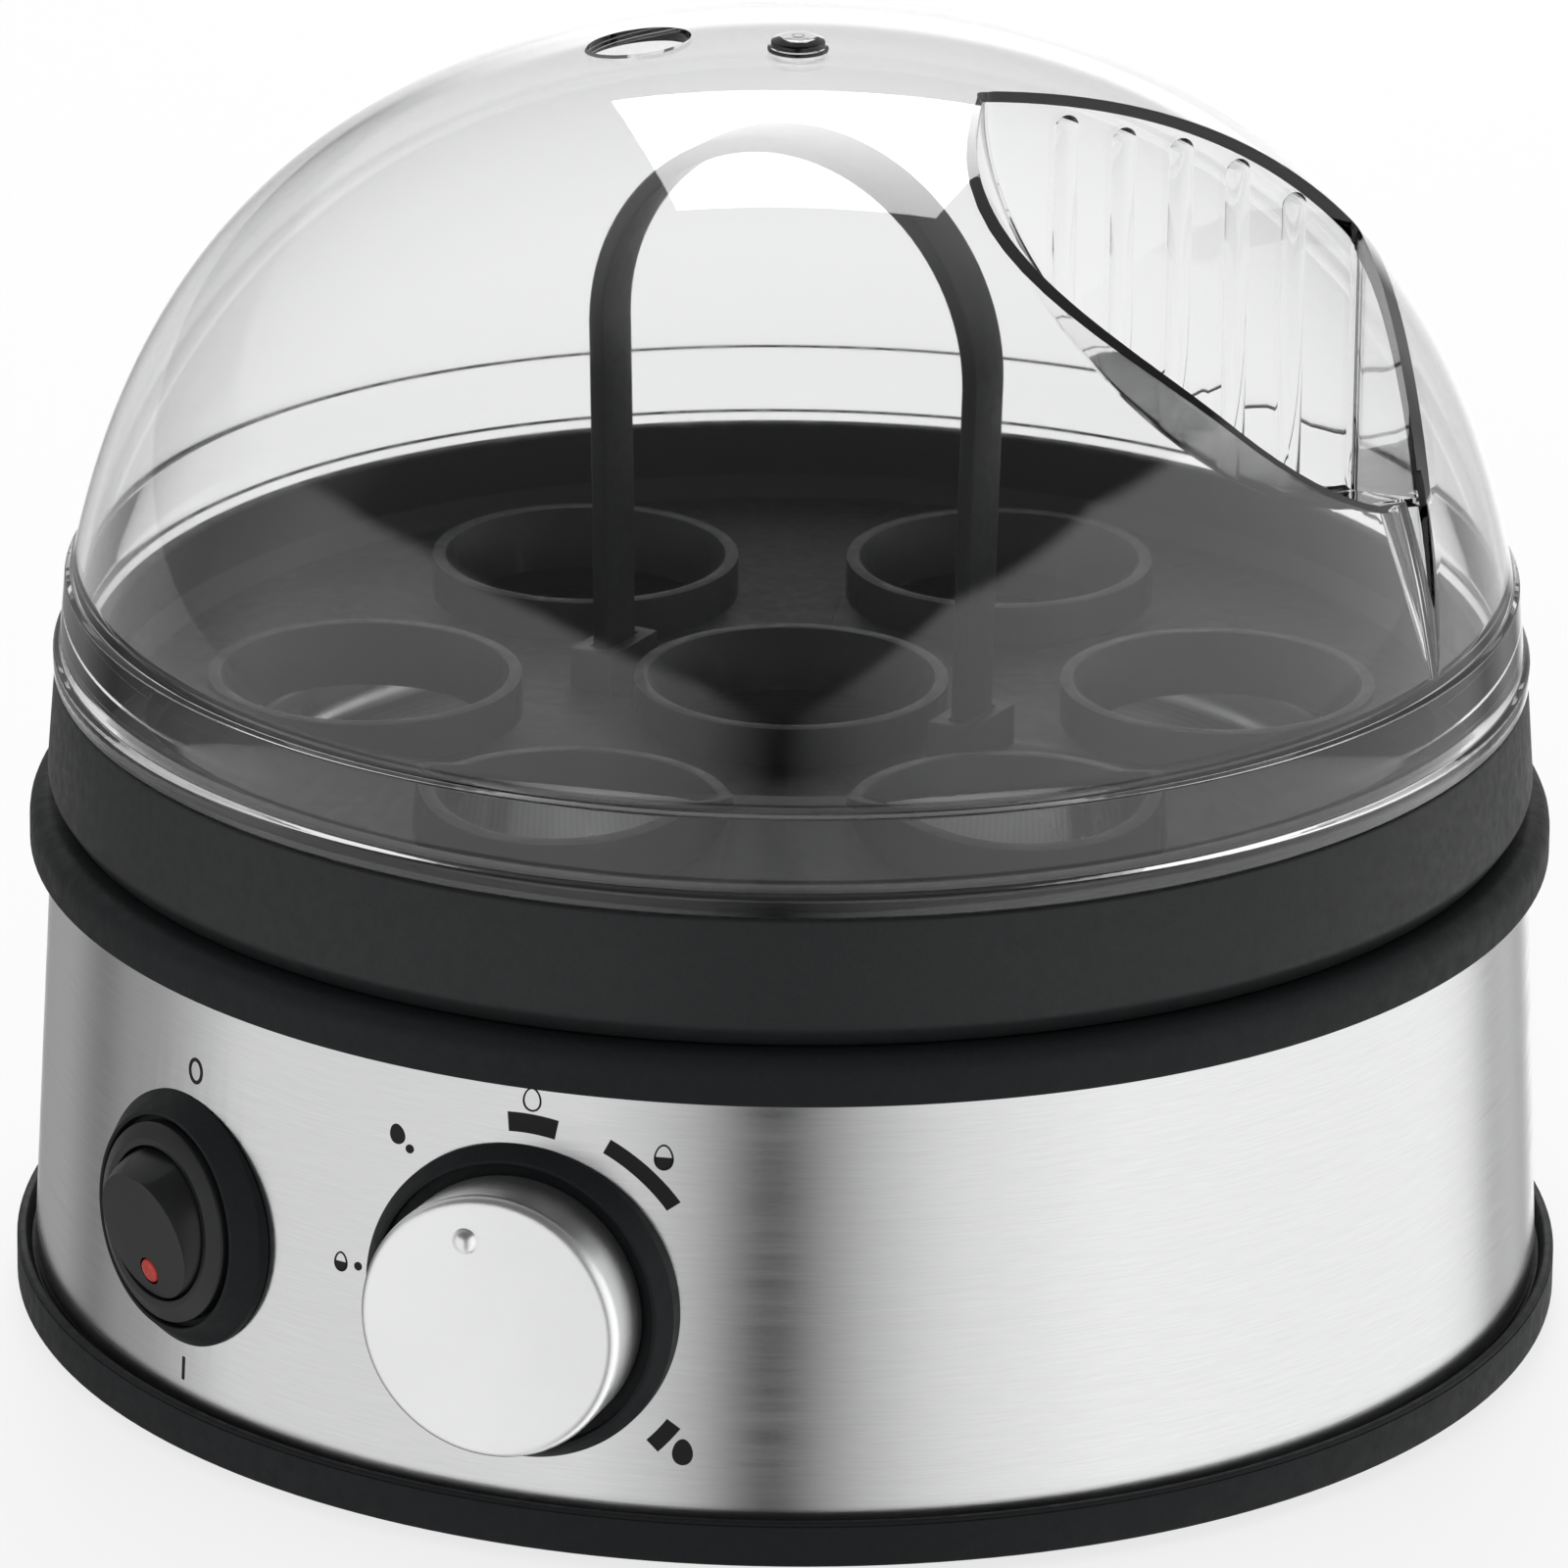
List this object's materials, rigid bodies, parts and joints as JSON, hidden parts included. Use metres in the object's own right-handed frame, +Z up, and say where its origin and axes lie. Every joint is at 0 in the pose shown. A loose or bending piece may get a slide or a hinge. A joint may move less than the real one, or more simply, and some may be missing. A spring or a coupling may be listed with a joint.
{
  "type": "egg cooker",
  "caption": "Round electric egg cooker: steel-banded base with rocker switch and knob, lift-out egg tray with arch handle, clear dome lid with a fluted grip recess.",
  "frame": {"origin": "centre of the base pan's flat underside", "axes": "+Z up through the lid's centre nub, -Y out of the front, +X to the right seen from the front"},
  "size_m": [0.19, 0.1977, 0.1605],
  "materials": {
    "grained_plastic": "fine-grained black moulding",
    "tray_plastic": "satin charcoal moulding",
    "brushed_steel": "fine horizontal brushing",
    "plain_steel": "plain zinc-plated",
    "plate_steel": "satin pressed stainless",
    "satin_silver": "satin silver metallised plastic",
    "gloss_black": "semi-gloss black",
    "silicone": "translucent grey silicone",
    "rubber": "matt black",
    "ceramic": "matt off-white",
    "phenolic": "dark brown moulding",
    "brass": "bare",
    "red_lens": "translucent red",
    "blue_lead": "insulation",
    "brown_lead": "insulation",
    "clear_plastic": "clear moulded polycarbonate, polished"
  },
  "bodies": {
    "base": {"base_pan": "grained_plastic", "steel_shell": "brushed_steel", "collar": "grained_plastic", "plate_gasket": "silicone", "heating_plate": "plate_steel", "heating_element": "plain_steel", "plate_bracket": "plain_steel", "earth_tag": "brass", "plate_nut": "brass", "limit_thermostat": "ceramic", "thermal_fuse": "ceramic", "fuse_clip": "plain_steel", "terminal_block": "ceramic", "live_lead": "brown_lead", "switched_lead": "brown_lead", "heater_lead": "brown_lead", "neutral_lead": "blue_lead", "cord_gland": "rubber", "knob_bezel": "grained_plastic", "regulator_body": "phenolic", "regulator_nut": "brass", "switch_bezel": "grained_plastic", "switch_body": "gloss_black", "foot_1": "rubber", "pan_screw_1": "plain_steel", "foot_2": "rubber", "pan_screw_2": "plain_steel", "foot_3": "rubber", "pan_screw_3": "plain_steel", "foot_4": "rubber", "pan_screw_4": "plain_steel"},
    "tray": {"egg_tray": "tray_plastic", "tray_handle": "tray_plastic"},
    "lid": {"lid": "clear_plastic"},
    "knob": {"knob": "satin_silver", "control_shaft": "brass"},
    "rocker": {"rocker": "gloss_black", "indicator_lens": "red_lens"}
  },
  "joints": [
    {"name": "knob_turn", "type": "hinge", "parent": "base", "child": "knob", "pos_m": [-0.03102, -0.08617, 0.0299], "axis": [-0.3384, -0.9398, 0.0472], "range_deg": [-151, 73]},
    {"name": "rocker_press", "type": "hinge", "parent": "base", "child": "rocker", "pos_m": [-0.07251, -0.05747, 0.02804], "axis": [0.6211, -0.7837, 0], "range_deg": [-28, 0]},
    {"name": "tray_lift", "type": "slide", "parent": "base", "child": "tray", "axis": [0, 0, 1], "range_m": [0, 0.08]},
    {"name": "lid_lift", "type": "slide", "parent": "tray", "child": "lid", "axis": [0, 0, 1], "range_m": [0, 0.09]}
  ]
}
